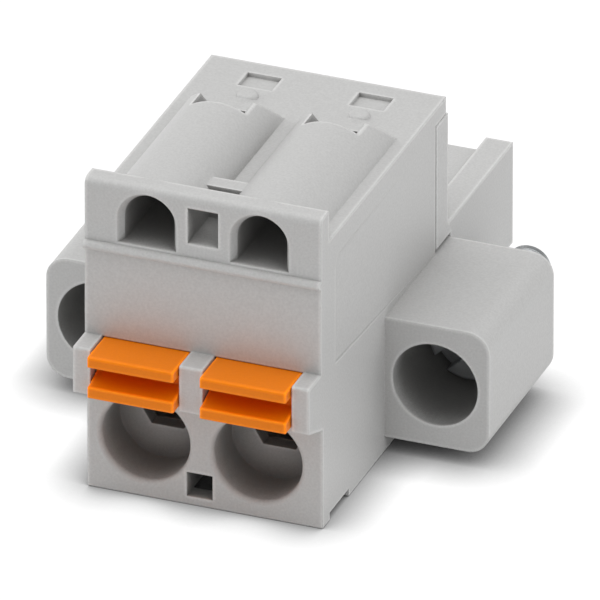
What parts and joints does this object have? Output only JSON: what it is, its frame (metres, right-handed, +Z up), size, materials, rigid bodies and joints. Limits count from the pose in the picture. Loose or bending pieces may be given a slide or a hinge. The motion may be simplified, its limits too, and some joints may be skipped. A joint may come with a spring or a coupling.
{
  "type": "pluggable terminal block",
  "caption": "Pluggable wire-to-board terminal block with push-in spring clamps, release levers, screw flanges and a rear mating plug.",
  "frame": {"origin": "centre of the bounding box at the base on which the housing stands", "axes": "+Y from the conductor side to the mating side, +Z up, +X to the right when looking at the conductor entries"},
  "size_m": [0.0302, 0.0374, 0.0224],
  "materials": {
    "housing_plastic": "fine matt moulded polyamide, light grey",
    "lever_plastic": "satin moulded plastic, orange",
    "spring_steel": "rolled spring steel",
    "tinned_copper": "tin plated copper alloy",
    "screw_steel": "zinc plated"
  },
  "bodies": {
    "housing": {"housing": "housing_plastic", "contact_carrier": "housing_plastic", "clamp_spring_left": "spring_steel", "clamp_spring_right": "spring_steel", "current_bar_left": "tinned_copper", "current_bar_right": "tinned_copper", "socket_contact_left": "tinned_copper", "socket_contact_right": "tinned_copper", "overspring_left": "spring_steel", "overspring_right": "spring_steel"},
    "lever_left": {"lever_left": "lever_plastic"},
    "lever_right": {"lever_right": "lever_plastic"},
    "screw_left": {"flange_screw_left": "screw_steel"},
    "screw_right": {"flange_screw_right": "screw_steel"}
  },
  "joints": [
    {"name": "lever_left_press", "type": "slide", "parent": "housing", "child": "lever_left", "axis": [0, 1, 0], "range_m": [0, 0.00175], "stiffness_N_per_m": 2000, "springref_m": -0.0005, "deforming": ["clamp_spring_left"]},
    {"name": "lever_right_press", "type": "slide", "parent": "housing", "child": "lever_right", "axis": [0, 1, 0], "range_m": [0, 0.00175], "stiffness_N_per_m": 2000, "springref_m": -0.0005, "deforming": ["clamp_spring_right"]},
    {"name": "screw_left_turn", "type": "hinge", "parent": "housing", "child": "screw_left", "pos_m": [-0.01143, 0.00133, 0.00554], "axis": [0, 1, 0], "continuous": true},
    {"name": "screw_right_turn", "type": "hinge", "parent": "housing", "child": "screw_right", "pos_m": [0.01143, 0.00133, 0.00554], "axis": [0, 1, 0], "continuous": true}
  ]
}
